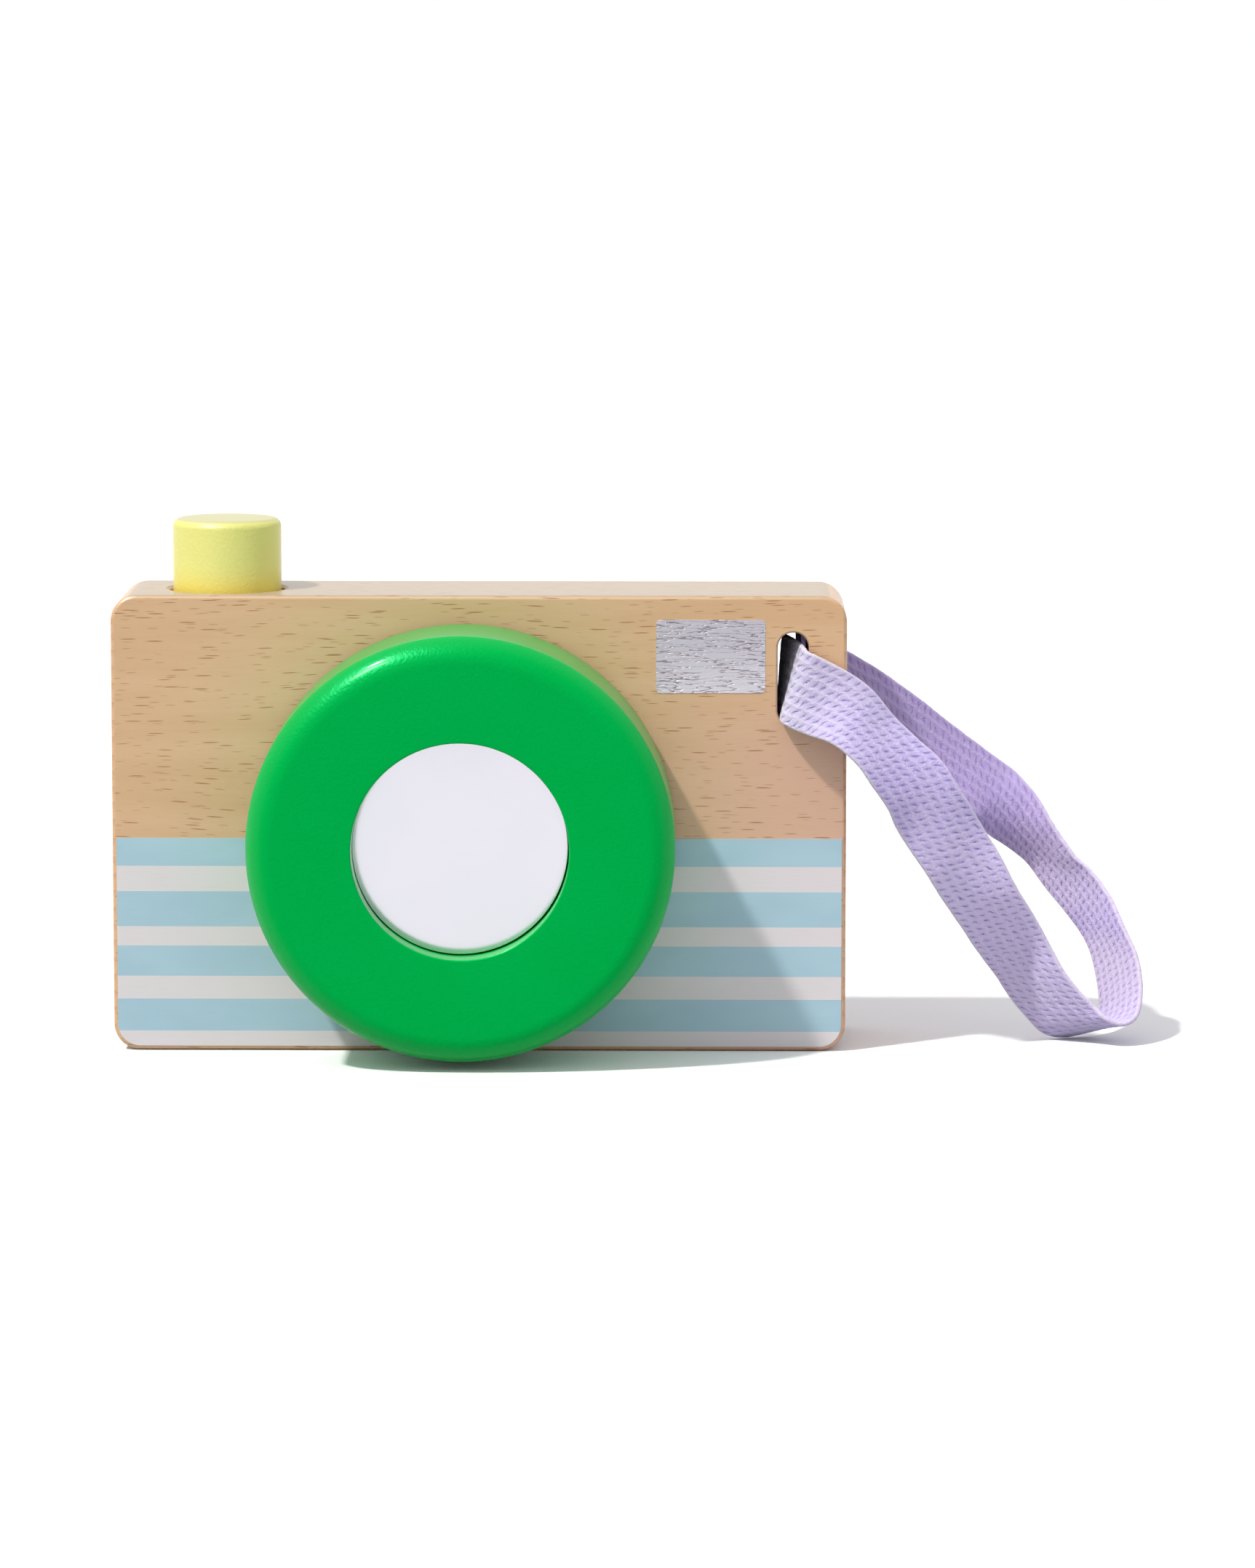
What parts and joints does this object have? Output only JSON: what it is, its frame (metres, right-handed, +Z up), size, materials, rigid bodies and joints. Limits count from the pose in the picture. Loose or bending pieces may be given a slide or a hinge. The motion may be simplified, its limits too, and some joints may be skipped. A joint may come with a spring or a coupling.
{
  "type": "toy camera",
  "caption": "Wooden toy camera with a turning lens ring round a pale disc, a sprung shutter button, printed stripes, a foil flash and a woven wrist loop.",
  "frame": {"origin": "middle of the block's flat base, on the surface that the toy stands on", "axes": "+X to the viewer's right along the block's width, -Y out of the front towards the viewer, +Z up"},
  "size_m": [0.1704, 0.0562, 0.0866],
  "materials": {
    "beech": "satin lacquer",
    "plain_beech": "bare",
    "blue_print": "satin print",
    "white_print": "satin print",
    "silver_foil": "satin foil",
    "green_paint": "gloss paint",
    "yellow_paint": "gloss paint",
    "pale_disc": "satin",
    "adhesive": "matte",
    "felt": "matte",
    "spring_steel": "bright",
    "cotton_tape": "woven"
  },
  "bodies": {
    "camera_body": {"body_block": "beech", "stripes_blue": "blue_print", "stripes_white": "white_print", "flash_foil": "silver_foil", "lens_hub": "plain_beech", "felt_washer": "felt", "button_spring": "spring_steel", "button_pin": "plain_beech", "strap_tape": "cotton_tape"},
    "lens": {"lens_ring": "green_paint", "lens_disc": "pale_disc", "disc_pad": "adhesive"},
    "button": {"shutter_button": "yellow_paint"}
  },
  "joints": [
    {"name": "lens_turn", "type": "hinge", "parent": "camera_body", "child": "lens", "pos_m": [-0.0024, -0.024, 0.036], "axis": [0, -1, 0], "continuous": true},
    {"name": "button_press", "type": "slide", "parent": "camera_body", "child": "button", "axis": [0, 0, -1], "range_m": [0, 0.005], "stiffness_N_per_m": 300, "springref_m": -0.003, "deforming": ["button_spring"]}
  ]
}
